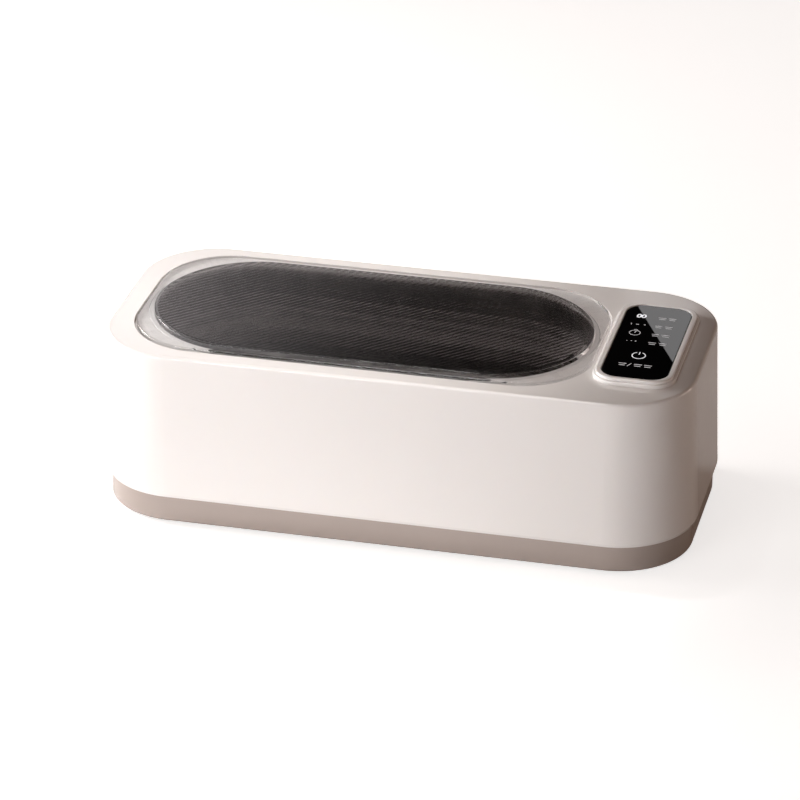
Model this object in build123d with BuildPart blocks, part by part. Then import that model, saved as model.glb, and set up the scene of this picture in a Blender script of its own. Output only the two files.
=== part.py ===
"""Household ultrasonic jewellery cleaner: white housing on a base tray, a
stadium shaped steel tank under a clear lift-off lid with a smoked, ribbed
window, and a raised touch panel at the +X end.

Millimetres. +Z up, +X towards the touch panel, +Y towards the back.
Origin: centre of the footprint, on the plane the rubber feet rest on.
"""
from build123d import *
from math import atan, cos, degrees, radians, sin
import os


# ------------------------------------------------------------------- helpers
def grow(outline, by):
    """Outline (length, width[, corner radius]) moved outwards all round."""
    length, width, *radius = outline
    return (length + 2 * by, width + 2 * by, *[r + by for r in radius])


def both_sides(*points):
    """Each point at -Y and at +Y."""
    return [(x, side * y) for x, y in points for side in (-1, 1)]


def taper_angle(inwards, height):
    return degrees(atan(inwards / height))


def level(z):
    return Plane.XY.offset(z)


def upright(y):
    """XZ plane at y; a positive extrusion runs towards -Y."""
    return Plane.XZ.offset(-y)


def top_face(builder):
    return builder.faces().sort_by(Axis.Z)[-1]


def bottom_face(builder):
    return builder.faces().sort_by(Axis.Z)[0]


def save(builder, name):
    builder.part.label = name
    export_step(builder.part, f"parts/{name}.step")


# ---------------------------------------------------------------- dimensions
# An outline is (length along X, width along Y, corner radius);
# a stadium outline has no radius.
foot_h = 1.5            # how far the rubber feet stand out below the base
band_h = 10.0           # visible height of the base tray
body_h = 62.9           # underside of the base tray to the top of the housing

top = (205.0, 90.7, 26.0)                   # housing outline at the top
draft_side = 2.0                            # growth per side down to the lower edge
wall = 2.2
band_inset = 1.55                           # base tray inside the housing's lower edge
top_edge_r = 1.0
low_edge_c, low_edge_v = 0.5, 1.1           # bevel round the lower edge, across and up
deck_t = 3.4                                # housing top, where there is no recess
floor_t = 2.5                               # floor of the base tray
boss_rise = 3.0                             # housing bosses start this far above the split
counterbore_h = 7.0                         # for the housing screws, from below

lid_x = -14.0                               # centre of the lid and the tank
lid_xy = (lid_x, 0)
lid, lid_t = (160.0, 77.0, 25.0), 2.2
recess_d, recess_gap = 1.2, 0.5
mouth = (154.0, 70.0)                       # tank mouth, a stadium
win_proud, win_pocket, win_glue = 0.3, 0.5, 0.04    # smoked window in the lid
win_gap = 0.03                              # round the window in its pocket
rib_pitch, rib_h, rib_border = 1.9, 0.30, 1.1

steel_t = 0.8
rim_w, rim_t, seal_t = 1.9, 0.6, 0.5
shoulder_top = 12.0                         # fill-level shoulder, below the housing top
shoulder = [(0.9, 0.8), (1.0, 1.7), (0.6, 2.6)]          # its bands: inwards, downwards
tank_depth = 36.0                           # rim to floor, inside
tank_floor_r = 7.0

panel_x = 81.8                              # centre of the touch panel
panel_xy = (panel_x, 0)
bezel, bezel_h = (28.5, 62.0, 8.2), 2.3
tier, tier_h = (26.8, 60.2, 7.4), 1.0       # raised ring round the glass
glass, glass_t, glass_sunk = (22.8, 57.0, 6.0), 1.2, 0.25
neck = (25.4, 59.0, 6.4)

# power socket in the +Y wall
jack_x, jack_z = 70.0, 24.0
seat_d = 0.9                                # flat seat, into the wall
pad_in = 4.2                                # inner face of the pad behind the socket

# driver board and its standoffs on the tray floor
board_x = 82
standoff_h, board_t = 4.5, 1.6
board_screw_xy = both_sides((board_x - 11, 25), (board_x + 11, 25))

# derived levels and outlines
z_base = foot_h
z_split = foot_h + band_h
z_top = foot_h + body_h
z_recess = z_top - recess_d
z_rebate = z_recess - rim_t - seal_t
z_deck = z_top - deck_t
z_floor = z_base + floor_t
z_boss = z_split + boss_rise
z_tank_floor = z_recess - tank_depth
low = grow(top, draft_side)                 # housing outline at its lower edge
draft = taper_angle(draft_side, z_top - z_split)
jack_y = low[1] / 2 - draft_side * (jack_z - z_split) / (z_top - z_split)   # wall's outer face
y_seat = jack_y - seat_d

end_screw_xy = both_sides((-88, 32), (86, 35))
side_screw_xy = both_sides((4, 39.6))
screw_xy = end_screw_xy + side_screw_xy
foot_xy = both_sides((-70, 31), (68, 31))

os.makedirs("parts", exist_ok=True)

# ------------------------------------------------------------- upper housing
end_boss_r, side_boss_r = 3.5, 3.0
boss_hole_r, boss_hole_depth = 1.5, 14
neck_gap = 0.15
socket_pad, pad_t = (17, 17, 3), 3.0

with BuildPart() as upper_housing:
    with BuildSketch(level(z_split)):
        RectangleRounded(*low)
    extrude(amount=z_top - z_split, taper=draft)
    fillet(top_face(upper_housing).edges(), top_edge_r)
    under = bottom_face(upper_housing)
    chamfer(under.edges(), low_edge_c, low_edge_v, reference=under)
    # inside, drawn to the same draft
    with BuildSketch(level(z_split)):
        RectangleRounded(*grow(low, -wall))
    extrude(amount=z_deck - z_split, taper=draft, mode=Mode.SUBTRACT)
    # pad behind the power socket
    with BuildSketch(upright(jack_y - pad_in)), Locations((jack_x, jack_z)):
        RectangleRounded(*socket_pad)
    extrude(amount=-pad_t)
    # screw bosses
    with BuildSketch(level(z_boss)):
        with Locations(*end_screw_xy):
            Circle(end_boss_r)
        with Locations(*side_screw_xy):
            Circle(side_boss_r)
    extrude(amount=z_deck - z_boss)
    with BuildSketch(level(z_boss)), Locations(*screw_xy):
        Circle(boss_hole_r)
    extrude(amount=boss_hole_depth, mode=Mode.SUBTRACT)
    # shallow recess the lid lies in, the rebate for the tank rim, and the mouth
    with BuildSketch(level(z_recess)), Locations(lid_xy):
        RectangleRounded(*grow(lid, recess_gap))
    extrude(amount=recess_d, mode=Mode.SUBTRACT)
    with BuildSketch(level(z_rebate)), Locations(lid_xy):
        SlotOverall(*grow(mouth, rim_w + 0.1))
    extrude(amount=rim_t + seal_t, mode=Mode.SUBTRACT)
    with BuildSketch(level(z_deck)), Locations(lid_xy):
        SlotOverall(*grow(mouth, steel_t + 0.2))
    extrude(amount=deck_t, mode=Mode.SUBTRACT)
    # opening for the neck of the touch panel
    with BuildSketch(level(z_deck)), Locations(panel_xy):
        RectangleRounded(*grow(neck, neck_gap))
    extrude(amount=deck_t, mode=Mode.SUBTRACT)
    # break the upper edge of the lid recess
    fillet(top_face(upper_housing).inner_wires().sort_by(Axis.X)[0].edges(), 0.35)
    # power socket: flat seat outside and a through hole
    with BuildSketch(upright(y_seat)), Locations((jack_x, jack_z)):
        Circle(6.2)
    extrude(amount=-4, mode=Mode.SUBTRACT)
    with BuildSketch(upright(jack_y - 8)), Locations((jack_x, jack_z)):
        Circle(4.0)
    extrude(amount=-12, mode=Mode.SUBTRACT)
save(upper_housing, "upper_housing")

# ----------------------------------------------------------------- base tray
spigot = grow(low, -wall - 0.2)
spigot_h, spigot_t = 4.0, 2.2
post_r = 4.3
tray_rib_t, tray_rib_h = 1.6, 2.0
foot_seat_d = 1.0
vent_w = 2.2

with BuildPart() as base_tray:
    with BuildSketch(level(z_base)):
        RectangleRounded(*grow(low, -band_inset))
    extrude(amount=band_h)
    fillet(bottom_face(base_tray).edges(), 1.0)
    # spigot that locates the housing
    with BuildSketch(level(z_split)):
        RectangleRounded(*spigot)
    extrude(amount=spigot_h, taper=draft)
    with BuildSketch(level(z_floor)):
        RectangleRounded(*grow(spigot, -spigot_t))
    extrude(amount=z_split + spigot_h - z_floor, mode=Mode.SUBTRACT)
    # screw posts under the housing bosses
    with BuildSketch(level(z_floor)), Locations(*screw_xy):
        Circle(post_r)
    extrude(amount=z_boss - z_floor)
    # posts for the driver board
    with BuildSketch(level(z_floor)), Locations(*board_screw_xy):
        Circle(2.6)
    extrude(amount=standoff_h)
    # ribs on the floor: three along Y, two along X
    with BuildSketch(level(z_floor)):
        with Locations((-62, 0), (34, 0), (62, 0)):
            Rectangle(tray_rib_t, spigot[1] - 5)
        with Locations((lid_x, 24), (lid_x, -24)):
            Rectangle(96, tray_rib_t)
    extrude(amount=tray_rib_h)
    # screw holes, counterbored from below
    with BuildSketch(level(z_base)), Locations(*screw_xy):
        Circle(1.7)
    extrude(amount=z_boss - z_base, mode=Mode.SUBTRACT)
    with BuildSketch(level(z_base)), Locations(*screw_xy):
        Circle(3.2)
    extrude(amount=counterbore_h, mode=Mode.SUBTRACT)
    # pilot holes for the driver board screws
    with BuildSketch(level(z_floor + standoff_h)), Locations(*board_screw_xy):
        Circle(1.05)
    extrude(amount=-4.2, mode=Mode.SUBTRACT)
    # seats for the feet
    with BuildSketch(level(z_base)), Locations(*foot_xy):
        Circle(6.6)
    extrude(amount=foot_seat_d, mode=Mode.SUBTRACT)
    # vent slots below the driver board and the tank
    with BuildSketch(level(z_base)):
        with Locations((board_x, 0)), GridLocations(0, 6, 1, 5):
            SlotOverall(17, vent_w)
        with Locations((-38, 0)), GridLocations(6, 0, 6, 1):
            SlotOverall(24, vent_w, rotation=90)
    extrude(amount=floor_t, mode=Mode.SUBTRACT)
save(base_tray, "base_tray")

# --------------------------------------------------- rubber feet and screws
with BuildPart() as rubber_feet:
    with BuildSketch(Plane.XY), Locations(*foot_xy):
        Circle(6.5)
    extrude(amount=foot_h + foot_seat_d)
    chamfer(rubber_feet.faces().group_by(Axis.Z)[0].edges(), 0.5)
save(rubber_feet, "rubber_feet")

z_head = z_base + counterbore_h             # upper side of the screw heads
head_h, head_r = 2.2, 2.9
shank_r, shank_l = 1.44, 16
cross_l, cross_w, cross_d = 3.2, 0.7, 1.2

with BuildPart() as housing_screws:
    with BuildSketch(level(z_head - head_h)), Locations(*screw_xy):
        Circle(head_r)
    extrude(amount=head_h)
    fillet(housing_screws.faces().group_by(Axis.Z)[0].edges(), 0.7)
    with BuildSketch(level(z_head)), Locations(*screw_xy):
        Circle(shank_r)
    extrude(amount=shank_l)
    chamfer(housing_screws.faces().group_by(Axis.Z)[-1].edges(), 0.8)
    with BuildSketch(level(z_head - head_h)), Locations(*screw_xy):
        Rectangle(cross_l, cross_w)
        Rectangle(cross_w, cross_l)
    extrude(amount=cross_d, mode=Mode.SUBTRACT)
save(housing_screws, "housing_screws")

# ---------------------------------------------------------------------- tank
z_shoulder = z_top - shoulder_top
# stations of the wall on its way down: (height, how far in)
stations = [(z_shoulder, 0.0)]
for run_in, run_down in shoulder:
    stations.append((stations[-1][0] - run_down, stations[-1][1] + run_in))
z_lower, lower_in = stations[-1]
outer_drop = steel_t * 0.5                  # outer shoulder sits this far below the inner

# inner form
with BuildPart() as bath:
    with BuildSketch(level(z_shoulder)), Locations(lid_xy):
        SlotOverall(*mouth)
    extrude(amount=z_recess - z_shoulder)
    for (z_from, in_from), (z_to, in_to) in zip(stations, stations[1:]):
        with BuildSketch(level(z_from)), Locations(lid_xy):
            SlotOverall(*grow(mouth, -in_from))
        extrude(amount=-(z_from - z_to), taper=taper_angle(in_to - in_from, z_from - z_to))
    with BuildSketch(level(z_lower)), Locations(lid_xy):
        SlotOverall(*grow(mouth, -lower_in))
    extrude(amount=-(z_lower - z_tank_floor))
    fillet(bottom_face(bath).edges(), tank_floor_r)

with BuildPart() as tank:
    # outer form: drawn cup with a fill-level shoulder and a turned-out rim
    with BuildSketch(level(z_shoulder)), Locations(lid_xy):
        SlotOverall(*grow(mouth, steel_t))
    extrude(amount=z_recess - z_shoulder)
    for (z_from, in_from), (z_to, in_to) in zip(stations, stations[1:]):
        with BuildSketch(level(z_from - outer_drop)), Locations(lid_xy):
            SlotOverall(*grow(mouth, steel_t - in_from))
        extrude(amount=-(z_from - z_to), taper=taper_angle(in_to - in_from, z_from - z_to))
    with BuildSketch(level(z_shoulder)), Locations(lid_xy):
        SlotOverall(*grow(mouth, steel_t))
    extrude(amount=-outer_drop)
    with BuildSketch(level(z_lower - outer_drop)), Locations(lid_xy):
        SlotOverall(*grow(mouth, steel_t - lower_in))
    extrude(amount=-(z_lower - z_tank_floor + outer_drop))
    fillet(bottom_face(tank).edges(), tank_floor_r + steel_t)
    with BuildSketch(level(z_recess - rim_t)), Locations(lid_xy):
        SlotOverall(*grow(mouth, rim_w))
    extrude(amount=rim_t)
    add(bath.part, mode=Mode.SUBTRACT)
    fillet(top_face(tank).inner_wires().edges(), 0.5)
    fillet(top_face(tank).outer_wire().edges(), 0.25)
save(tank, "tank")

with BuildPart() as tank_seal:
    with BuildSketch(level(z_rebate)), Locations(lid_xy):
        SlotOverall(*grow(mouth, rim_w))
        SlotOverall(*grow(mouth, steel_t + 0.15), mode=Mode.SUBTRACT)
    extrude(amount=seal_t)
save(tank_seal, "tank_seal")

# ----------------------------------------------------------------------- lid
z_lid = z_recess + lid_t
z_win = z_lid + win_proud

with BuildPart() as clear_lid:
    with BuildSketch(level(z_recess)), Locations(lid_xy):
        RectangleRounded(*lid)
    extrude(amount=lid_t)
    fillet(top_face(clear_lid).edges(), 0.6)
    fillet(bottom_face(clear_lid).edges(), 0.3)
    # shallow pocket the window is bonded into
    with BuildSketch(level(z_lid - win_pocket)), Locations(lid_xy):
        SlotOverall(*grow(mouth, win_gap))
    extrude(amount=win_pocket, mode=Mode.SUBTRACT)
save(clear_lid, "clear_lid")

# diagonal reeding over the window, inside a plain border
rib_angle = radians(45)                     # direction the ribs run, from +X
rib_span = 130.0                            # across the ribs
rib_root = -0.2                             # reeding starts this deep in the window
rib_count = int(rib_span / rib_pitch)
# one rib: (fraction of the pitch, fraction of the height)
rib_profile = [(0, 0), (0.18, 0.62), (0.38, 1), (0.62, 1), (0.82, 0.62)]

rib_end = rib_count / 2 * rib_pitch
rib_points = [(-rib_end, rib_root)]
for i in range(rib_count):
    start = (i - rib_count / 2) * rib_pitch
    rib_points += [(start + across * rib_pitch, up * rib_h) for across, up in rib_profile]
rib_points += [(rib_end, 0), (rib_end, rib_root)]

with BuildPart() as ribs:
    section = Plane(origin=(lid_x, 0, z_win), x_dir=(-sin(rib_angle), cos(rib_angle), 0),
                    z_dir=(cos(rib_angle), sin(rib_angle), 0))
    with BuildSketch(section):
        with BuildLine():
            Polyline(*rib_points, close=True)
        make_face()
    extrude(amount=110, both=True)
    with BuildSketch(level(z_win - 1)), Locations(lid_xy):
        SlotOverall(*grow(mouth, -rib_border))
    extrude(amount=4, mode=Mode.INTERSECT)

with BuildPart() as lid_window:
    with BuildSketch(level(z_lid - win_pocket + win_glue)), Locations(lid_xy):
        SlotOverall(*mouth)
    extrude(amount=win_pocket - win_glue + win_proud)
    fillet(top_face(lid_window).edges(), 0.25)
    add(ribs.part)
save(lid_window, "lid_window")

# --------------------------------------------------------------- touch panel
mask_h, touch_pcb_t = 3.2, 1.2
z_bezel = z_top + bezel_h
z_ledge = z_bezel - glass_sunk - glass_t    # the glass rests here
z_mask = z_ledge - mask_h                   # underside of the light mask, top of the board
z_touch_pcb = z_mask - touch_pcb_t          # underside of the board
neck_wall = 1.7
inner_board = grow(neck, -1.9)              # light mask and touch board
corner_grid = (20.4, 55.4, 2, 2)            # square corner blocks
panel_screw_xy = both_sides((panel_x - 8.0, 24.8), (panel_x + 8.0, 24.8))

with BuildPart() as panel_bezel:
    with BuildSketch(level(z_top)), Locations(panel_xy):
        RectangleRounded(*bezel)
    extrude(amount=bezel_h - tier_h)
    fillet(top_face(panel_bezel).edges(), 0.55)
    with BuildSketch(level(z_bezel - tier_h)), Locations(panel_xy):
        RectangleRounded(*tier)
    extrude(amount=tier_h)
    fillet(top_face(panel_bezel).edges(), 0.45)
    with BuildSketch(level(z_top)), Locations(panel_xy):
        RectangleRounded(*neck)
    extrude(amount=-5.5)
    # opening for the glass, and the hollow neck below its ledge
    with BuildSketch(level(z_ledge)), Locations(panel_xy):
        RectangleRounded(*grow(glass, 0.1))
    extrude(amount=10, mode=Mode.SUBTRACT)
    with BuildSketch(level(z_ledge)), Locations(panel_xy):
        RectangleRounded(*grow(neck, -neck_wall))
    extrude(amount=-14, mode=Mode.SUBTRACT)
    fillet(top_face(panel_bezel).inner_wires().edges(), 0.3)
    # pillars that take the board screws, and the corner blocks beside them
    with BuildSketch(level(z_mask)), Locations(*panel_screw_xy):
        Circle(2.1)
    extrude(amount=mask_h)
    with BuildSketch(level(z_mask)), Locations(panel_xy):
        with GridLocations(*corner_grid):
            Rectangle(3.4, 3.4)
        RectangleRounded(*neck, mode=Mode.INTERSECT)
    extrude(amount=mask_h)
    with BuildSketch(level(z_mask)), Locations(*panel_screw_xy):
        Circle(0.9)
    extrude(amount=2.6, mode=Mode.SUBTRACT)
save(panel_bezel, "panel_bezel")

with BuildPart() as panel_glass:
    with BuildSketch(level(z_ledge)), Locations(panel_xy):
        RectangleRounded(*glass)
    extrude(amount=glass_t)
    fillet(top_face(panel_glass).edges(), 0.25)
save(panel_glass, "panel_glass")

key_xy = [(panel_x - 3.2, 21.0), (panel_x - 3.2, 6.5), (panel_x + 1.2, -13.5)]
# two rows of four along X and a column of four along Y
led_xy = ([(panel_x - 7.0 + 2.6 * i, y) for y in (13.0, 0.0) for i in range(4)]
          + [(panel_x + 4.0, 19.2 - 6.6 * i) for i in range(4)])

with BuildPart() as light_mask:
    with BuildSketch(level(z_mask)):
        with Locations(panel_xy):
            RectangleRounded(*inner_board)
            with GridLocations(*corner_grid):
                Rectangle(3.9, 3.9, mode=Mode.SUBTRACT)
        with Locations(*panel_screw_xy):
            Circle(2.4, mode=Mode.SUBTRACT)
        with Locations(*key_xy):
            Circle(3.6, mode=Mode.SUBTRACT)
        with Locations(*led_xy):
            Rectangle(1.8, 1.8, mode=Mode.SUBTRACT)
    extrude(amount=mask_h)
save(light_mask, "light_mask")

with BuildPart() as touch_pcb:
    with BuildSketch(level(z_touch_pcb)):
        with Locations(panel_xy):
            RectangleRounded(*inner_board)
        with Locations(*panel_screw_xy):
            Circle(1.0, mode=Mode.SUBTRACT)
    extrude(amount=touch_pcb_t)
save(touch_pcb, "touch_pcb")

coil_r, coil_h, coil_pitch, coil_wire_r = 2.4, 2.4, 1.0, 0.25
with BuildPart() as touch_springs:
    for x, y in key_xy:
        with BuildLine() as coil:
            Helix(pitch=coil_pitch, height=coil_h, radius=coil_r, center=(x, y, z_mask + 0.35))
        with BuildSketch(Plane(origin=coil.line @ 0, z_dir=coil.line % 0)):
            Circle(coil_wire_r)
        sweep()
save(touch_springs, "touch_springs")

with BuildPart() as indicator_leds:
    with BuildSketch(level(z_mask)), Locations(*led_xy):
        RectangleRounded(1.5, 1.5, 0.2)
    extrude(amount=0.9)
save(indicator_leds, "indicator_leds")

with BuildPart() as control_chip:
    with BuildSketch(level(z_touch_pcb)), Locations((panel_x, 10)):
        Rectangle(7, 7)
    extrude(amount=-1.4)
    fillet(control_chip.edges().filter_by(Axis.Z), 0.3)
save(control_chip, "control_chip")

buzzer_xy, buzzer_r, buzzer_h = (panel_x, -16), 4.75, 4.6
with BuildPart() as buzzer:
    with BuildSketch(level(z_touch_pcb)), Locations(buzzer_xy):
        Circle(buzzer_r)
    extrude(amount=-buzzer_h)
    fillet(bottom_face(buzzer).edges(), 0.4)
    with BuildSketch(level(z_touch_pcb - buzzer_h)), Locations(buzzer_xy):
        Circle(1.0)
    extrude(amount=1.5, mode=Mode.SUBTRACT)
save(buzzer, "buzzer")

panel_head_h = 1.2
with BuildPart() as touch_pcb_screws:
    with BuildSketch(level(z_touch_pcb - panel_head_h)), Locations(*panel_screw_xy):
        Circle(1.7)
    extrude(amount=panel_head_h)
    fillet(touch_pcb_screws.faces().group_by(Axis.Z)[0].edges(), 0.4)
    with BuildSketch(level(z_touch_pcb)), Locations(*panel_screw_xy):
        Circle(0.84)
    extrude(amount=3.4)
save(touch_pcb_screws, "touch_pcb_screws")

# ------------------------------------ transducer, a stack hung under the tank
front_mass_t, piezo_t, electrode_t, back_mass_t = 7.0, 2.5, 0.2, 6.0
front_mass_r, front_mass_edge = 16, 2.5     # widest part and the height of its straight side
stack_r, ring_hole_r, bore_r = 12.5, 5.0, 4.05
tab_x, tab_l, tab_w = 14.0, 6.5, 3.0        # electrode tabs; tab_x is the centre, from the axis
bolt_r, bolt_head_r, bolt_head_h = 3.97, 6.5, 3.6

z_tank_under = z_tank_floor - steel_t
z_front_mass = z_tank_under - front_mass_t
electrode_z = [z_front_mass - electrode_t - i * (electrode_t + piezo_t) for i in range(3)]
z_back_mass = electrode_z[2] - back_mass_t

with BuildPart() as transducer_front_mass:
    with BuildSketch(Plane.XZ):
        with BuildLine():
            Polyline((lid_x, z_tank_under),
                     (lid_x + front_mass_r, z_tank_under),
                     (lid_x + front_mass_r, z_tank_under - front_mass_edge),
                     (lid_x + stack_r, z_front_mass),
                     (lid_x, z_front_mass), close=True)
        make_face()
    revolve(axis=Axis((lid_x, 0, 0), (0, 0, 1)))
    with BuildSketch(level(z_front_mass)), Locations(lid_xy):
        Circle(bore_r)
    extrude(amount=5.6, mode=Mode.SUBTRACT)
save(transducer_front_mass, "transducer_front_mass")

with BuildPart() as transducer_electrodes:
    for z in electrode_z:
        with BuildSketch(level(z)):
            with Locations(lid_xy):
                Circle(stack_r)
            with Locations((lid_x + tab_x, 0)):
                Rectangle(tab_l, tab_w)
            with Locations(lid_xy):
                Circle(ring_hole_r, mode=Mode.SUBTRACT)
        extrude(amount=electrode_t)
save(transducer_electrodes, "transducer_electrodes")

with BuildPart() as piezo_rings:
    for z in electrode_z[:2]:
        with BuildSketch(level(z - piezo_t)), Locations(lid_xy):
            Circle(stack_r)
            Circle(ring_hole_r, mode=Mode.SUBTRACT)
        extrude(amount=piezo_t)
save(piezo_rings, "piezo_rings")

with BuildPart() as transducer_back_mass:
    with BuildSketch(level(z_back_mass)), Locations(lid_xy):
        Circle(stack_r)
    extrude(amount=back_mass_t)
    chamfer(bottom_face(transducer_back_mass).edges(), 0.6)
    with BuildSketch(level(z_back_mass)), Locations(lid_xy):
        Circle(bore_r)
    extrude(amount=back_mass_t, mode=Mode.SUBTRACT)
    with BuildSketch(level(z_back_mass)), Locations(lid_xy):
        Circle(bolt_head_r + 0.2)
    extrude(amount=bolt_head_h, mode=Mode.SUBTRACT)
save(transducer_back_mass, "transducer_back_mass")

with BuildPart() as transducer_bolt:
    with BuildSketch(level(z_back_mass)), Locations(lid_xy):
        Circle(bolt_head_r)
    extrude(amount=bolt_head_h)
    fillet(bottom_face(transducer_bolt).edges(), 0.5)
    with BuildSketch(level(z_back_mass + bolt_head_h)), Locations(lid_xy):
        Circle(bolt_r)
    extrude(amount=z_front_mass + 5.4 - (z_back_mass + bolt_head_h))
    # hexagon socket
    with BuildSketch(level(z_back_mass)), Locations(lid_xy):
        RegularPolygon(radius=3.46, side_count=6)
    extrude(amount=2.2, mode=Mode.SUBTRACT)
save(transducer_bolt, "transducer_bolt")

# -------------------------------------------------------------- driver board
z_board = z_floor + standoff_h
z_parts = z_board + board_t                 # top of the board, under its components

with BuildPart() as driver_pcb:
    with BuildSketch(level(z_board)):
        with Locations((board_x, 0)):
            RectangleRounded(28, 56, 2.0)
        with Locations(*board_screw_xy):
            Circle(1.2, mode=Mode.SUBTRACT)
    extrude(amount=board_t)
save(driver_pcb, "driver_pcb")

with BuildPart() as driver_pcb_screws:
    with BuildSketch(level(z_parts)), Locations(*board_screw_xy):
        Circle(2.2)
    extrude(amount=1.5)
    fillet(driver_pcb_screws.faces().group_by(Axis.Z)[-1].edges(), 0.5)
    with BuildSketch(level(z_parts)), Locations(*board_screw_xy):
        Circle(0.99)
    extrude(amount=-5.4)
save(driver_pcb_screws, "driver_pcb_screws")

transformer_x, transformer_y = 81.6, -8
core_h, core_window_y = 18, 5.6             # window centres, each side of the middle limb

with BuildPart() as transformer_winding:
    with BuildSketch(level(z_parts + 3.0)), Locations((transformer_x, transformer_y)):
        RectangleRounded(15, 15, 3)
        Rectangle(6.4, 6.4, mode=Mode.SUBTRACT)
    extrude(amount=12)
    fillet(top_face(transformer_winding).outer_wire().edges(), 1.0)
save(transformer_winding, "transformer_winding")

with BuildPart() as transformer_core:
    with BuildSketch(level(z_parts)), Locations((transformer_x, transformer_y)):
        Rectangle(6.0, 22)
    extrude(amount=core_h)
    with BuildSketch(Plane.YZ.offset(transformer_x)):
        with Locations((transformer_y - core_window_y, z_parts + core_h / 2),
                       (transformer_y + core_window_y, z_parts + core_h / 2)):
            Rectangle(4.9, 12.2)
    extrude(amount=12, both=True, mode=Mode.SUBTRACT)
save(transformer_core, "transformer_core")

inductor_x, inductor_y = 78.5, 14
# half section: (radius, height above the board)
inductor_profile = [(0, 0), (6, 0), (6, 2), (4.5, 2.6), (4.5, 11.4), (6, 12), (6, 14), (0, 14)]
with BuildPart() as output_inductor:
    with BuildSketch(upright(inductor_y)):
        with BuildLine():
            Polyline(*[(inductor_x + r, z_parts + h) for r, h in inductor_profile], close=True)
        make_face()
    revolve(axis=Axis((inductor_x, inductor_y, 0), (0, 0, 1)))
    fillet(top_face(output_inductor).edges(), 0.4)
save(output_inductor, "output_inductor")

bulk_xy, bulk_h = (90, 8.8), 20
with BuildPart() as bulk_capacitor:
    with BuildSketch(level(z_parts)), Locations(bulk_xy):
        Circle(5.0)
    extrude(amount=bulk_h)
    fillet(top_face(bulk_capacitor).edges(), 0.6)
    # cross scored in the top
    with BuildSketch(level(z_parts + bulk_h)), Locations(bulk_xy):
        Rectangle(7, 0.5)
        Rectangle(0.5, 7)
    extrude(amount=-0.3, mode=Mode.SUBTRACT)
save(bulk_capacitor, "bulk_capacitor")

with BuildPart() as film_capacitors:
    with BuildSketch(level(z_parts)):
        with Locations((92.3, -10), (92.3, -2)):
            RectangleRounded(5.4, 7.0, 0.6)
        with Locations((88.2, 18.3)):
            RectangleRounded(7.0, 4.6, 0.6)
    extrude(amount=10)
    fillet(film_capacitors.faces().group_by(Axis.Z)[-1].edges(), 0.5)
save(film_capacitors, "film_capacitors")

# back plate with five fins towards -Y
with BuildPart() as heat_sink:
    with BuildSketch(level(z_parts)), Locations((board_x, -23.2)):
        Rectangle(15, 2.0)
        with Locations((0, -2.6)), GridLocations(3.3, 0, 5, 1):
            Rectangle(1.0, 3.4)
    extrude(amount=22)
save(heat_sink, "heat_sink")

transistor_xs = (78, 87.0)
lead_h = 5                                  # board to the underside of the bodies
with BuildPart() as power_transistors:
    with BuildSketch(level(z_parts + lead_h)), Locations(*[(x, -21.0) for x in transistor_xs]):
        Rectangle(7.0, 2.4)
    extrude(amount=9)
    with BuildSketch(level(z_parts)), Locations(*[(x, -20.8) for x in transistor_xs]):
        with GridLocations(2.3, 0, 3, 1):
            Rectangle(0.7, 0.5)
    extrude(amount=lead_h)
save(power_transistors, "power_transistors")

connector_h = 6.0
side_connector_x, side_connector_l = 71.0, 4.6
ribbon_y = -15
with BuildPart() as board_connectors:
    with BuildSketch(level(z_parts)):
        with Locations((side_connector_x, 5.0), (side_connector_x, ribbon_y)):
            Rectangle(side_connector_l, 8.0)
        with Locations((78.0, 24.5)):
            Rectangle(8.0, 4.4)
    extrude(amount=connector_h)
    fillet(board_connectors.edges().filter_by(Axis.Z), 0.4)
save(board_connectors, "board_connectors")

# -------------------------------------------------------------- power socket
flange_r, flange_t = 6.0, 1.0
barrel_r, barrel_l = 3.95, 12.5
socket_bore_r, socket_bore_depth = 2.8, 10.0
y_bore_floor = y_seat + flange_t - socket_bore_depth

with BuildPart() as dc_socket:
    with BuildSketch(upright(y_seat)), Locations((jack_x, jack_z)):
        Circle(flange_r)
    extrude(amount=-flange_t)
    fillet(dc_socket.faces().sort_by(Axis.Y)[-1].edges(), 0.3)
    with BuildSketch(upright(y_seat)), Locations((jack_x, jack_z)):
        Circle(barrel_r)
    extrude(amount=barrel_l)
    with BuildSketch(upright(y_seat + flange_t)), Locations((jack_x, jack_z)):
        Circle(socket_bore_r)
    extrude(amount=socket_bore_depth, mode=Mode.SUBTRACT)
    # centre pin
    with BuildSketch(upright(y_bore_floor)), Locations((jack_x, jack_z)):
        Circle(1.05)
    extrude(amount=-8.6)
save(dc_socket, "dc_socket")

with BuildPart() as dc_socket_nut:
    with BuildSketch(upright(jack_y - pad_in)), Locations((jack_x, jack_z)):
        RegularPolygon(radius=6.3, side_count=6)
        Circle(4.0, mode=Mode.SUBTRACT)
    extrude(amount=2.2)
save(dc_socket_nut, "dc_socket_nut")


# --------------------------------------------------------------------- wires
def wire(points, bend, radius):
    """Round wire through the points, with its corners rounded to the bend radius."""
    with BuildPart(mode=Mode.PRIVATE) as swept:
        with BuildLine() as path:
            FilletPolyline(*points, radius=bend)
        with BuildSketch(Plane(origin=path.line @ 0, z_dir=path.line % 0)):
            Circle(radius)
        sweep()
    return swept.part


wire_gap = 0.05                             # between a wire's end and what it meets
y_lead = y_seat - barrel_l - wire_gap
z_plug_top = z_parts + connector_h + wire_gap
z_plug_side = z_parts + 3.2
x_plug_side = side_connector_x - side_connector_l / 2 - wire_gap
x_tab_end = lid_x + tab_x + tab_l / 2 + wire_gap
tab_drop = 0.75                             # wire centre below the underside of its electrode

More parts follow.
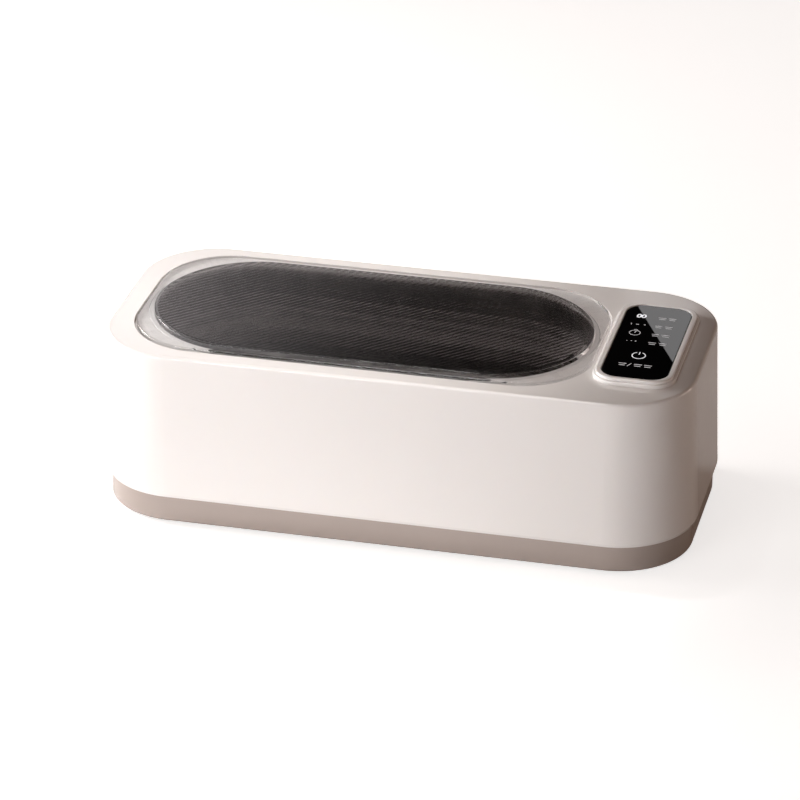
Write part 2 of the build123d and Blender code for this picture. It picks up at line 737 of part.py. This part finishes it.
# power socket to the +Y connector: start offset in X, then the three further points
with BuildPart() as dc_leads:
    for start_x, *bends in (
            (-1.7, (jack_x - 1.7, 24.5, jack_z), (76.0, 24.5, jack_z - 2), (76.0, 24.5, z_plug_top)),
            (1.9, (jack_x + 1.9, 27.0, jack_z), (79.6, 25.0, jack_z - 1), (79.6, 25.0, z_plug_top))):
        add(wire([(jack_x + start_x, y_lead, jack_z), *bends], bend=2.2, radius=0.75))
save(dc_leads, "dc_leads")

# electrode z, y at the tab, first bend from lid_x, low point, y at the connector
transducer_runs = [
    (electrode_z[1], 0.6, 24, (16, 9, 10.5), 6.6),
    (electrode_z[2], -0.6, 22, (16, -4, 9.0), 3.6),
]
with BuildPart() as transducer_leads:
    for z, y_tab, bend_x, low_point, y_plug in transducer_runs:
        add(wire([(x_tab_end, y_tab, z - tab_drop), (lid_x + bend_x, y_tab, z - tab_drop),
                  low_point, (58, y_plug, z_plug_side), (x_plug_side, y_plug, z_plug_side)],
                 bend=3.0, radius=0.6))
save(transducer_leads, "transducer_leads")

# flat ribbon from a plug under the touch board down to the driver board
ribbon_x, ribbon_plug_h = 74.5, 2.0
down = (0, 0, -1)
with BuildPart() as panel_ribbon:
    with BuildLine() as ribbon_path:
        Spline((ribbon_x, ribbon_y, z_touch_pcb - ribbon_plug_h), (70.6, ribbon_y, z_mask - 10),
               (68.9, ribbon_y, 36), (70.9, ribbon_y, z_plug_top), tangents=[down, down])
    with BuildSketch(Plane(origin=ribbon_path.line @ 0, x_dir=(0, 1, 0),
                           z_dir=ribbon_path.line % 0)):
        Rectangle(6.4, 0.5)
    sweep()
    with BuildSketch(level(z_touch_pcb)), Locations((ribbon_x, ribbon_y)):
        Rectangle(3.4, 8.0)
    extrude(amount=-ribbon_plug_h)
save(panel_ribbon, "panel_ribbon")
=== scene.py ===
"""Ultrasonic cleaner: housing, steel tank, clear lid, touch panel and its inner parts.

Metres, +Z up, standing on the floor at z = 0. The front faces -Y and +X is to the right.
The CAD pieces get materials; a raised legend is added on the panel glass.
"""
import bpy
import bmesh
import math
from mathutils import Vector, Matrix

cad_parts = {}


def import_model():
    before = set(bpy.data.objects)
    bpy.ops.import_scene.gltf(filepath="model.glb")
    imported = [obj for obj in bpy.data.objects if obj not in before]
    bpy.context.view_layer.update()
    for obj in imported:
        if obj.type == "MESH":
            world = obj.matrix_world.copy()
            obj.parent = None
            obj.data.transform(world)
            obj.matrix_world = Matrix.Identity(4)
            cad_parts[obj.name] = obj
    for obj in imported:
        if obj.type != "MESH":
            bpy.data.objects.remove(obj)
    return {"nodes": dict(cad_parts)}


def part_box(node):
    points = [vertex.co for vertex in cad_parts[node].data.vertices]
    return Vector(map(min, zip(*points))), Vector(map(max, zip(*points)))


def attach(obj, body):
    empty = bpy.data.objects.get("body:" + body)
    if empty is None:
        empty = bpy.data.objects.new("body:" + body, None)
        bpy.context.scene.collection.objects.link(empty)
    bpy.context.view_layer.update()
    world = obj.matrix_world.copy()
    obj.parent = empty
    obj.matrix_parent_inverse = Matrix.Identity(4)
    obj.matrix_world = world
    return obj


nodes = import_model()["nodes"]
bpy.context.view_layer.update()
scene = bpy.context.scene


# ---------------------------------------------------------------- shader building
class Shader:
    """Short calls for building the node tree of a material or world.

    Input values may be numbers, tuples (RGB gets alpha 1) or output sockets to link.
    """

    def __init__(self, owner, output="OutputMaterial"):
        owner.use_nodes = True
        self.owner = owner
        self.tree = owner.node_tree
        self.tree.nodes.clear()
        self.output = self.node(output)
        self.texcoord = None

    def node(self, kind, inputs=None, **settings):
        node = self.tree.nodes.new("ShaderNode" + kind)
        for key, value in settings.items():
            setattr(node, key, value)
        for key, value in (inputs or {}).items():
            self.feed(node.inputs[key], value)
        return node

    def feed(self, socket, value):
        if isinstance(value, bpy.types.NodeSocket):
            self.tree.links.new(value, socket)
        elif isinstance(value, tuple) and len(socket.default_value) == 4:
            socket.default_value = (*value, 1)
        else:
            socket.default_value = value

    def coords(self, stretch=(1, 1, 1), turn=0.0):
        """Object coordinates, scaled per axis and turned about Z."""
        if self.texcoord is None:
            self.texcoord = self.node("TexCoord")
        return self.node("Mapping", {"Scale": stretch, "Rotation": (0, 0, turn),
                                     "Vector": self.texcoord.outputs["Object"]}).outputs["Vector"]

    def noise(self, scale, detail=4.0, rough=0.5, stretch=(1, 1, 1), turn=0.0, warp=0.0):
        return self.node("TexNoise", {"Scale": scale, "Detail": detail, "Roughness": rough,
                                      "Distortion": warp,
                                      "Vector": self.coords(stretch, turn)}).outputs["Fac"]

    def ramp(self, fac, start, end):
        """Black up to start, white from end."""
        node = self.node("ValToRGB", {"Fac": fac})
        for element, position in zip(node.color_ramp.elements, (start, end)):
            element.position = position
        return node.outputs["Color"]

    def remap(self, fac, low, high, start=0.0, end=1.0):
        """Takes start..end to low..high."""
        return self.node("MapRange", {"From Min": start, "From Max": end, "To Min": low,
                                      "To Max": high, "Value": fac}).outputs["Result"]

    def mix(self, fac, first, second):
        # sockets 6 and 7 are the colour pair of the Mix node
        return self.node("Mix", {0: fac, 6: first, 7: second}, data_type="RGBA").outputs[2]

    def calc(self, operation, first, second):
        return self.node("Math", {0: first, 1: second}, operation=operation).outputs[0]

    def dot(self, first, second):
        return self.node("VectorMath", {0: first, 1: second},
                         operation="DOT_PRODUCT").outputs["Value"]

    def bump(self, height, strength, distance):
        return self.node("Bump", {"Strength": strength, "Distance": distance,
                                  "Height": height}).outputs["Normal"]

    def bsdf(self, **inputs):
        inputs = {key.replace("_", " "): value for key, value in inputs.items()}
        return self.node("BsdfPrincipled", inputs).outputs["BSDF"]

    def mix_shader(self, fac, first, second):
        return self.node("MixShader", {0: fac, 1: first, 2: second}).outputs[0]

    def done(self, shader):
        self.feed(self.output.inputs["Surface"], shader)
        return self.owner


def new_material(name):
    return Shader(bpy.data.materials.new(name))


def scaled(colour, factor, lift=0.0):
    return tuple(min(1, c * factor + lift) for c in colour)


# ---------------------------------------------------------------- kinds of material
def edge_wear(mat):
    """0 on flats, towards 1 on worn edges."""
    face = mat.node("NewGeometry").outputs["Normal"]
    rounded = mat.node("Bevel", {"Radius": 0.0006}, samples=4).outputs["Normal"]
    return mat.remap(mat.dot(face, rounded), 1.0, 0.0, start=0.85, end=1.0)


def moulded(name, colour, rough, coat, vary, peel, sss=0.0):
    """Moulded plastic: flow mottling, orange peel `peel` deep, fine scuffs and dust."""
    mat = new_material(name)
    flow = mat.noise(scale=14, detail=3, stretch=(1, 1, 0.35))
    base = mat.mix(mat.ramp(flow, start=0.3, end=0.7),
                   scaled(colour, 1 - vary), scaled(colour, 1 + vary * 0.6))
    dust = mat.ramp(mat.noise(scale=1600, detail=2, rough=0.6), start=0.66, end=0.74)
    base = mat.mix(mat.calc("MULTIPLY", dust, 0.10), base, scaled(colour, 1.15, lift=0.02))
    wear = mat.calc("MULTIPLY", edge_wear(mat), 0.12)
    base = mat.mix(wear, base, scaled(colour, 1.08, lift=0.03))
    scratches = mat.noise(scale=220, detail=6, rough=0.7, stretch=(1, 6, 1), turn=0.4)
    scuff = mat.ramp(scratches, start=0.45, end=0.8)
    mottle = mat.remap(mat.noise(scale=45, rough=0.55), rough * 0.8, rough * 1.25)
    return mat.done(mat.bsdf(
        Base_Color=base, Roughness=mat.calc("ADD", mottle, mat.calc("MULTIPLY", scuff, 0.06)),
        Normal=mat.bump(mat.noise(scale=900, detail=2), strength=0.25, distance=peel),
        Coat_Weight=coat, Coat_Roughness=0.05, Specular_IOR_Level=0.5,
        Subsurface_Weight=sss, Subsurface_Scale=0.002, Subsurface_Radius=(1.0, 0.8, 0.6)))


def tank_zones(mat, spots, colour, rough, top):
    """Height zones of the tank, as depths below its top, with a painted highlight band and painted
    shade under it: (colour, metallic, roughness).
    """
    height = mat.node("SeparateXYZ", {0: mat.coords()}).outputs["Z"]

    def above(depth_start, depth_end):
        return mat.remap(height, 0.0, 1.0, top - depth_start, top - depth_end)

    def below(depth_start, depth_end):
        return mat.remap(height, 1.0, 0.0, top - depth_start, top - depth_end)

    rim = above(0.0007, 0.0005)
    # a band part way down the wall gets a paler colour than the steel above and below it, a
    # painted highlight, and is a little rougher
    highlight_band = mat.calc("MULTIPLY", above(0.0162, 0.0156), below(0.0108, 0.0104))
    colour = mat.mix(highlight_band, colour, (0.95, 0.91, 0.895))
    # the wall and floor under the band get a darker colour, painted shade
    painted_shade_tone = mat.mix(spots, (0.23, 0.215, 0.21), (0.31, 0.295, 0.285))
    colour = mat.mix(below(0.0170, 0.0160), colour, painted_shade_tone)
    rough = mat.calc("ADD", rough, mat.calc("MULTIPLY", highlight_band, 0.12))
    # the rim is a paler satin
    colour = mat.mix(rim, colour, (0.80, 0.785, 0.77))
    metallic = mat.remap(rim, 1.0, 0.25)
    return colour, metallic, mat.calc("MAXIMUM", rough, mat.calc("MULTIPLY", rim, 0.5))


def metal(name, colour, rough=0.3, brush=(1, 1, 60), aniso=0.0, vary=0.12, depth=0.00001,
          tank_top=None):
    """Worked metal: brush lines, mottled roughness and slight tarnish."""
    mat = new_material(name)
    lines = mat.noise(scale=120, detail=5, rough=0.65, stretch=brush)
    spots = mat.noise(scale=60, rough=0.6)
    base = mat.mix(mat.remap(spots, 0.0, 1.0), scaled(colour, 1 - vary), scaled(colour, 1 + vary))
    roughness = mat.calc("ADD", mat.remap(lines, rough * 0.75, rough * 1.25),
                         mat.remap(spots, -0.03, 0.05))
    metallic = 1.0
    # the tank's height zones include a painted highlight band and painted shade below it
    if tank_top is not None:
        base, metallic, roughness = tank_zones(mat, spots, base, roughness, tank_top)
    return mat.done(mat.bsdf(Base_Color=base, Metallic=metallic, Roughness=roughness,
                             Anisotropic=aniso,
                             Normal=mat.bump(lines, strength=0.3, distance=depth)))


def speckled(name, dark, light, scale, rough):
    """Fired, cast or rubbery stuff: two tones in a fine grain."""
    mat = new_material(name)
    grain = mat.noise(scale, detail=5, rough=0.6)
    return mat.done(mat.bsdf(
        Base_Color=mat.mix(mat.ramp(grain, start=0.4, end=0.6), dark, light),
        Roughness=mat.remap(mat.noise(scale * 0.3, detail=3), rough * 0.8, min(1, rough * 1.2)),
        Normal=mat.bump(grain, strength=0.4, distance=0.00005)))


def windings(name, dark, light, pitch, axis="Z"):
    """Wound turns: bands across one axis."""
    mat = new_material(name)
    turns = mat.node("TexWave", {"Scale": 1.0 / pitch / 3.18, "Distortion": 0.4, "Detail": 2,
                                 "Vector": mat.coords()},
                     wave_type="BANDS", bands_direction=axis).outputs["Fac"]
    return mat.done(mat.bsdf(
        Base_Color=mat.mix(turns, dark, light),
        Roughness=mat.remap(mat.noise(scale=300), 0.3, 0.5),
        Normal=mat.bump(turns, strength=0.6, distance=pitch * 0.3)))


def clear_plastic(name, tint, rough, shade, swirl):
    """Clear moulding: refracts for the camera, passes shadow light tinted by `shade`."""
    mat = new_material(name)
    mottle = mat.remap(mat.noise(scale=60), rough * 0.7, rough * 1.6)
    scratches = mat.noise(scale=500, detail=6, rough=0.7, stretch=(1, 5, 1), turn=0.7)
    scuff = mat.calc("MULTIPLY", mat.ramp(scratches, start=0.6, end=0.85), 0.03)
    roughness = mat.calc("ADD", mottle, scuff)
    normal = mat.bump(mat.noise(scale=120, detail=2), strength=swirl, distance=0.0001)
    colour = mat.mix(mat.noise(scale=35, detail=3), scaled(tint, 0.985), tint)
    seen = mat.bsdf(Base_Color=colour, Roughness=roughness, IOR=1.12, Transmission_Weight=1.0,
                    Normal=normal, Coat_Weight=1.0, Coat_Roughness=rough, Coat_IOR=1.49)
    passing = mat.node("BsdfTransparent", {"Color": scaled(tint, shade)}).outputs[0]
    ray = mat.node("LightPath").outputs
    indirect = mat.calc("MAXIMUM", ray["Is Shadow Ray"], ray["Is Diffuse Ray"])
    return mat.done(mat.mix_shader(indirect, seen, passing))


def panel_glass():
    """Near-black gloss with faint smears."""
    mat = new_material("panel_black")
    smudges = mat.noise(scale=55, detail=5, rough=0.65, stretch=(1, 1.6, 1), turn=0.5, warp=0.6)
    smear = mat.ramp(smudges, start=0.45, end=0.75)
    colour = mat.mix(mat.noise(scale=300, detail=3),
                     (0.0012, 0.0012, 0.0014), (0.0028, 0.0028, 0.003))
    rough = mat.calc("ADD", mat.remap(mat.noise(scale=800, detail=2), 0.004, 0.009),
                     mat.calc("MULTIPLY", smear, 0.006))
    ripple = mat.bump(mat.noise(scale=160, detail=2), strength=0.02, distance=0.000006)
    return mat.done(mat.bsdf(Base_Color=colour, Roughness=rough, IOR=1.5, Coat_Weight=0.3,
                             Coat_Roughness=0.01, Normal=ripple))


# ---------------------------------------------------------------- materials of the pieces
WHITE = (0.86, 0.835, 0.815)
GREIGE = (0.40, 0.338, 0.305)
TANK_TOP = max(v.co.z for v in nodes["tank"].data.vertices)

# (material, the pieces that wear it)
LOOKS = [
    (moulded("housing_white", WHITE, rough=0.14, coat=0.6, vary=0.012, peel=0.000015, sss=0.05),
     "upper_housing"),
    (moulded("bezel_white", scaled(WHITE, 1.02), rough=0.12, coat=0.7, vary=0.012,
             peel=0.00001, sss=0.05), "panel_bezel"),
    (moulded("base_greige", GREIGE, rough=0.2, coat=0.5, vary=0.03, peel=0.00002), "base_tray"),
    (moulded("mask_black", (0.03, 0.03, 0.032), rough=0.5, coat=0.0, vary=0.1, peel=0.00004),
     "light_mask buzzer"),
    (moulded("connector_white", (0.75, 0.73, 0.66), rough=0.4, coat=0.0, vary=0.03,
             peel=0.00003), "board_connectors"),
    (moulded("socket_black", (0.018, 0.018, 0.02), rough=0.28, coat=0.2, vary=0.1,
             peel=0.00003), "dc_socket"),
    (clear_plastic("lid_clear", (0.965, 0.97, 0.975), rough=0.015, shade=0.95, swirl=0.06),
     "clear_lid"),
    (clear_plastic("window_smoke", (0.36, 0.345, 0.342), rough=0.01, shade=2.3, swirl=0.02),
     "lid_window"),
    (metal("tank_steel", (0.50, 0.48, 0.465), rough=0.26, brush=(1, 1, 25), aniso=0.2,
           vary=0.1, depth=0.000006, tank_top=TANK_TOP), "tank"),
    (metal("screw_steel", (0.56, 0.56, 0.58), brush=(1, 1, 8)),
     "housing_screws touch_springs touch_pcb_screws transducer_back_mass transducer_bolt "
     "driver_pcb_screws dc_socket_nut"),
    (metal("turned_aluminium", (0.78, 0.79, 0.80), rough=0.28, brush=(1, 1, 90)),
     "transducer_front_mass heat_sink"),
    (metal("electrode_brass", (0.80, 0.60, 0.28), brush=(20, 1, 1)), "transducer_electrodes"),
]

# name, dark tone, light tone, grain scale, roughness, pieces
SPECKLED = [
    ("piezo_ceramic", (0.50, 0.43, 0.33), (0.62, 0.56, 0.46), 900, 0.55, "piezo_rings"),
    ("ferrite", (0.055, 0.055, 0.06), (0.12, 0.12, 0.12), 1200, 0.6, "transformer_core"),
    ("foot_rubber", (0.03, 0.03, 0.03), (0.06, 0.06, 0.06), 1500, 0.85, "rubber_feet"),
    ("seal_silicone", (0.62, 0.62, 0.62), (0.72, 0.72, 0.71), 500, 0.55, "tank_seal"),
    ("board_green", (0.012, 0.09, 0.035), (0.02, 0.14, 0.055), 260, 0.35,
     "touch_pcb driver_pcb"),
    ("chip_black", (0.018, 0.018, 0.018), (0.04, 0.04, 0.04), 2200, 0.6,
     "control_chip power_transistors"),
    ("film_yellow", (0.62, 0.40, 0.05), (0.75, 0.50, 0.08), 500, 0.45, "film_capacitors"),
    ("led_white", (0.85, 0.80, 0.45), (0.95, 0.92, 0.7), 1500, 0.3, "indicator_leds"),
]
# name, dark tone, light tone, pitch of the turns, pieces
WOUND = [
    ("winding_tape", (0.70, 0.52, 0.06), (0.85, 0.68, 0.12), 0.0012, "transformer_winding"),
    ("inductor_wrap", (0.02, 0.02, 0.02), (0.07, 0.07, 0.07), 0.0008, "output_inductor"),
    ("capacitor_sleeve", (0.02, 0.04, 0.12), (0.03, 0.06, 0.17), 0.004, "bulk_capacitor"),
]
# columns as in SPECKLED
WIRES = [
    ("wire_red", (0.45, 0.02, 0.015), (0.55, 0.04, 0.03), 700, 0.45, "dc_leads"),
    ("wire_black", (0.02, 0.02, 0.02), (0.05, 0.05, 0.05), 700, 0.45, "transducer_leads"),
]
for make, table in ((speckled, SPECKLED), (windings, WOUND), (speckled, WIRES)):
    LOOKS += [(make(*values), pieces) for *values, pieces in table]
LOOKS += [
    (windings("ribbon_grey", (0.35, 0.35, 0.37), (0.5, 0.5, 0.52), pitch=0.0008, axis="Y"),
     "panel_ribbon"),
    (panel_glass(), "panel_glass"),
]

look_of = {piece: material for material, pieces in LOOKS for piece in pieces.split()}
for name, piece in nodes.items():
    piece.data.materials.clear()
    piece.data.materials.append(look_of[name])


# ---------------------------------------------------------------- panel legend
# Legend outlines are in mm from a point 0.5 mm left of the glass centre.
MM = 0.001
glass_low, glass_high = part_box("panel_glass")
LEGEND_X = (glass_low.x + glass_high.x) / 2 - 0.0005
LEGEND_Y = (glass_low.y + glass_high.y) / 2
LEGEND_BOTTOM = glass_high.z - 0.01 * MM
LEGEND_TOP = glass_high.z + 0.03 * MM
CAP_STEPS = 8
RING_STEPS = 36
DOT_SIDES = 20


def legend_material(name, glow):
    mat = new_material(name)
    grain = mat.noise(scale=2500, detail=3)
    colour = mat.mix(grain, (0.55, 0.56, 0.58), (0.70, 0.71, 0.73))
    return mat.done(mat.bsdf(Base_Color=colour, Roughness=mat.remap(grain, 0.25, 0.4),
                             Emission_Color=colour, Emission_Strength=glow))


def prism(bm, outline):
    """A closed flat-topped prism over a plan outline."""
    bottom, top = [[bm.verts.new((LEGEND_X + x * MM, LEGEND_Y + y * MM, z)) for x, y in outline]
                   for z in (LEGEND_BOTTOM, LEGEND_TOP)]
    count = len(outline)
    for i in range(count):
        j = (i + 1) % count
        bm.faces.new((bottom[i], bottom[j], top[j], top[i]))
    bm.faces.new(top)
    bm.faces.new(list(reversed(bottom)))


def stroke(points, width):
    """Outline of a round-ended stroke along a polyline."""
    points = [Vector(p) for p in points]
    left, right = [], []
    for i, point in enumerate(points):
        along = (points[min(len(points) - 1, i + 1)] - points[max(0, i - 1)]).normalized()
        across = Vector((-along.y, along.x))
        left.append(point + across * width / 2)
        right.append(point - across * width / 2)

    def cap(centre, start):
        angles = [start - math.pi * k / CAP_STEPS for k in range(1, CAP_STEPS)]
        return [centre + Vector((math.cos(t), math.sin(t))) * width / 2 for t in angles]

    first = (points[1] - points[0]).normalized()
    last = (points[-1] - points[-2]).normalized()
    end_cap = cap(points[-1], math.atan2(last.x, -last.y))
    start_cap = cap(points[0], math.atan2(-first.x, first.y))
    outline = left + end_cap + list(reversed(right)) + start_cap
    return [(p.x, p.y) for p in reversed(outline)]


def ring(x, y, radius, width, start=0.0, end=358.0, radius_y=None):
    """A stroke round an ellipse, from start to end in degrees."""
    radius_y = radius if radius_y is None else radius_y
    angles = [math.radians(start + (end - start) * k / RING_STEPS)
              for k in range(RING_STEPS + 1)]
    return stroke([(x + radius * math.cos(t), y + radius_y * math.sin(t)) for t in angles], width)


def bar(left, right, y, width):
    return stroke([(left + width / 2, y), (right - width / 2, y)], width)


def dot(x, y, radius):
    angles = [2 * math.pi * k / DOT_SIDES for k in range(DOT_SIDES)]
    return [(x + radius * math.cos(t), y + radius * math.sin(t)) for t in angles]


def legend(name, outlines, material):
    bm = bmesh.new()
    for outline in outlines:
        prism(bm, outline)
    bmesh.ops.recalc_face_normals(bm, faces=bm.faces)
    mesh = bpy.data.meshes.new(name)
    bm.to_mesh(mesh)
    bm.free()
    ob = bpy.data.objects.new(name, mesh)
    scene.collection.objects.link(ob)
    mesh.materials.append(material)
    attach(ob, "cleaner")


def name_bars():
    """Plain double bars in place of words: four rows of two, and three at the front."""
    row_y, row_pitch, half_gap = 19.2, 6.63, 0.6
    # right end of the first bar; left and right ends of the second
    rows = ((3.7, 4.4, 7.1), (3.4, 4.3, 7.0), (3.3, 4.2, 7.1), (3.6, 4.6, 7.1))
    bars = []
    for i, (first_right, second_left, second_right) in enumerate(rows):
        y = row_y - row_pitch * i
        for left, right in ((0.85, first_right), (second_left, second_right)):
            bars += [bar(left, right, y + half_gap, width=0.34),
                     bar(left + 0.35, right - 0.2, y - half_gap, width=0.34)]
    for left, right in ((-6.0, -3.3), (-0.75, 2.0), (2.7, 5.4)):
        bars += [bar(left, right, y=-17.8, width=0.38),
                 bar(left + 0.25, right - 0.3, y=-19.1, width=0.38)]
    # slash after the first of the three
    return bars + [stroke([(-2.8, -19.6), (-1.75, -17.4)], width=0.26)]


bright = legend_material("legend_bright", glow=0.75)
dim = legend_material("legend_dim", glow=0.3)

# power symbol: open ring and a stroke
legend("legend_power", [
    ring(-0.42, -10.85, radius=2.25, width=0.34, start=118, end=422, radius_y=2.4),
    stroke([(-0.42, -10.0), (-0.42, -8.4)], width=0.36)], bright)
# timer: ring with a hand, and a bar behind it
legend("legend_timer", [
    ring(-4.96, 6.35, radius=1.85, width=0.22, start=100, end=456),
    stroke([(-5.0, 6.5), (-4.75, 7.5)], width=0.26),
    bar(-5.6, -4.3, y=8.75, width=0.24)], dim)
# mode symbol: two small rings with a bridge
legend("legend_mode", [
    *[ring(x, 19.9, radius=0.62, width=0.56, end=358, radius_y=1.15) for x in (-5.86, -4.22)],
    stroke([(-5.3, 20.5), (-4.8, 20.5)], width=0.4)], bright)
# level marks
legend("legend_levels", [
    stroke([(-7.4, 13.4), (-7.4, 12.7)], width=0.3),
    bar(-5.85, -4.7, y=13.1, width=0.36),
    dot(-2.75, 13.2, radius=0.3), dot(-6.5, -0.2, radius=0.16),
    dot(-5.0, -0.15, radius=0.18), dot(-3.5, -0.1, radius=0.28)], dim)
legend("legend_bars", name_bars(), dim)


# ---------------------------------------------------------------- stage
def sheet(name, corners, location=(0, 0, 0)):
    """One flat face, part of the stage."""
    mesh = bpy.data.meshes.new(name)
    mesh.from_pydata(corners, [], [tuple(range(len(corners)))])
    ob = bpy.data.objects.new(name, mesh)
    ob.location = location
    scene.collection.objects.link(ob)
    return ob


def rectangle(name, size, location):
    x, y = size[0] / 2, size[1] / 2
    return sheet(name, [(-x, -y, 0), (x, -y, 0), (x, y, 0), (-x, y, 0)], location)


def aim(ob, target, axis):
    """Turns the object's axis towards the target."""
    ob.rotation_euler = (Vector(target) - ob.location).to_track_quat(axis, "Y").to_euler()


def floor_material():
    """Pale floor, lifted by some emission for the camera only."""
    mat = new_material("floor_pale")
    colour = mat.mix(mat.noise(scale=30, detail=3), (0.80, 0.79, 0.78), (0.83, 0.82, 0.81))
    diffuse = mat.bsdf(Base_Color=colour, Roughness=0.7, Specular_IOR_Level=0.2)
    glow = mat.node("Emission", {"Color": (1, 0.995, 0.99), "Strength": 0.72}).outputs[0]
    lifted = mat.node("AddShader", {0: diffuse, 1: glow}).outputs[0]
    camera_ray = mat.node("LightPath").outputs["Is Camera Ray"]
    return mat.done(mat.mix_shader(camera_ray, diffuse, lifted))


def glow_only(ob, colour, strength, falloff=None):
    """Emission seen only in reflections; falloff is the power it fades by along local X."""
    mat = new_material(ob.name + "_glow")
    emission = mat.node("Emission", {"Color": colour, "Strength": strength})
    if falloff:
        place = mat.node("TexCoord").outputs["Generated"]
        across = mat.node("SeparateXYZ", {0: place}).outputs[0]
        fade = mat.calc("POWER", mat.remap(across, 1.0, 0.0), falloff)
        mat.feed(emission.inputs["Strength"], mat.calc("MULTIPLY", fade, strength))
    ob.data.materials.append(mat.done(emission.outputs[0]))
    ob.visible_camera = False
    ob.visible_diffuse = False
    ob.visible_shadow = False


def add_light(name, light, location, target):
    ob = bpy.data.objects.new(name, light)
    ob.location = location
    aim(ob, target, "-Z")
    scene.collection.objects.link(ob)
    return ob


floor = rectangle("floor", (12.0, 12.0), (0, 0, 0))
floor.data.materials.append(floor_material())

# name, size, location, target, power in watts, colour
AREA_LIGHTS = [
    ("key_left", (0.75, 0.20), (-0.95, -0.05, 0.325), (0, 0, 0.05), 3.0, (1.0, 0.985, 0.97)),
    ("key_near", (0.3, 0.08), (-0.50, 0.03, 0.205), (0, 0, 0.06), 1.1, (1.0, 0.985, 0.975)),
    ("key_near2", (0.2, 0.06), (-0.42, 0.12, 0.19), (0, 0, 0.06), 0.9, (1.0, 0.95, 0.93)),
    ("front_near", (0.34, 0.12), (-0.22, -0.50, 0.085), (0, 0, 0.04), 1.76,
     (0.985, 0.975, 0.985)),
    ("top_soft", (0.8, 0.8), (-0.5, 0.3, 1.1), (0, 0, 0.03), 0.3, (1, 1, 1)),
    ("right_rim", (0.4, 0.16), (0.95, 0.45, 0.10), (0.1, 0, 0.03), 1.2, (1.0, 0.80, 0.68)),
]
for name, size, location, target, power, colour in AREA_LIGHTS:
    light = bpy.data.lights.new(name, "AREA")
    light.shape = "RECTANGLE"
    light.size, light.size_y = size
    light.energy = power
    light.color = colour
    add_light(name, light, location, target)

# a soft pool of light on the left and middle of the top
POOL_RADIUS, POOL_THROW = 0.113, 0.97  # the cone's radius at this distance
pool = bpy.data.lights.new("pool", "SPOT")
pool.energy = 31.0
pool.color = (1.0, 0.97, 0.95)
pool.spot_size = 2 * math.atan(POOL_RADIUS / POOL_THROW)
pool.spot_blend = 1.0
pool.shadow_soft_size = 0.03
pool_ob = add_light("pool", pool, location=(-0.30, 0.12, 1.0), target=(-0.024, -0.004, 0.063))
pool_ob.visible_glossy = False

# what the shiny faces reflect: name, size, location, target, colour, strength, falloff
CARDS = [
    ("back_left", (0.26, 0.34), (-0.17, 0.50, 0.32), (-0.17, 0.0, 0.19),
     (1.0, 0.96, 0.97), 2.35, 3.0),
    ("overhead", (0.6, 0.5), (-0.20, 0.30, 0.62), (-0.10, 0.1, 0.06),
     (0.95, 0.97, 1.0), 1.4, 2.0),
    ("front_top", (0.34, 0.62), (-0.16, -0.42, 0.55), (-0.16, -0.42, 0.0),
     (1, 0.97, 0.95), 5.6, 1.5),
]
for name, size, location, target, colour, strength, falloff in CARDS:
    card = rectangle(name, size, location)
    aim(card, target, "Z")
    glow_only(card, colour, strength, falloff)

# the pale triangle whose slanted edge shows in the panel glass
wall = sheet("back_right", [(-0.0635, 0.50, 0.205), (0.0443, 0.50, 0.205), (0.0116, 0.50, 0.3225)])
glow_only(wall, colour=(1.0, 0.985, 0.99), strength=1.05)


def build_world():
    """White to the camera, dim warm ambient, and darkest in reflections from behind."""
    scene.world = bpy.data.worlds.new("studio")
    sky = Shader(scene.world, "OutputWorld")

    def background(colour):
        return sky.node("Background", {"Color": colour}).outputs[0]

    dark_direction = Vector((-0.15, 0.89, 0.43)).normalized()
    facing = sky.dot(sky.node("TexCoord").outputs["Generated"], dark_direction)
    dark = sky.remap(facing, 0.0, 1.0, start=0.80, end=0.95)
    seen = background((1, 1, 1))
    ambient = background((0.122, 0.082, 0.064))
    reflected = background(sky.mix(dark, (0.16, 0.14, 0.13), (0.0015, 0.0012, 0.0012)))
    ray = sky.node("LightPath").outputs
    unseen = sky.mix_shader(ray["Is Glossy Ray"], ambient, reflected)
    sky.done(sky.mix_shader(ray["Is Camera Ray"], unseen, seen))


def build_camera():
    """Long lens from the front, slightly right, looking down."""
    azimuth, elevation, roll = map(math.radians, (13.3583, 27.9081, 0.0794))
    distance, pivot = 1.380083, Vector((0, 0, 0.0015))
    back = Vector((math.sin(azimuth) * math.cos(elevation),
                   -math.cos(azimuth) * math.cos(elevation), math.sin(elevation)))
    level = Vector((math.cos(azimuth), math.sin(azimuth), 0))
    upright = back.cross(level)
    right = level * math.cos(roll) + upright * math.sin(roll)
    up = -level * math.sin(roll) + upright * math.cos(roll)
    camera = bpy.data.cameras.new("camera")
    camera.lens, camera.sensor_width = 176.659, 36.0
    camera.shift_x, camera.shift_y = -0.01579, 0.10604
    camera.clip_start, camera.clip_end = 0.05, 50
    ob = bpy.data.objects.new("camera", camera)
    position = back * distance + pivot
    ob.matrix_world = Matrix([*zip(right, up, back, position), (0, 0, 0, 1)])
    scene.collection.objects.link(ob)
    scene.camera = ob


build_world()
build_camera()
scene.view_settings.view_transform = "Standard"
scene.cycles.max_bounces = 10
scene.cycles.transmission_bounces = 8
scene.cycles.transparent_max_bounces = 16
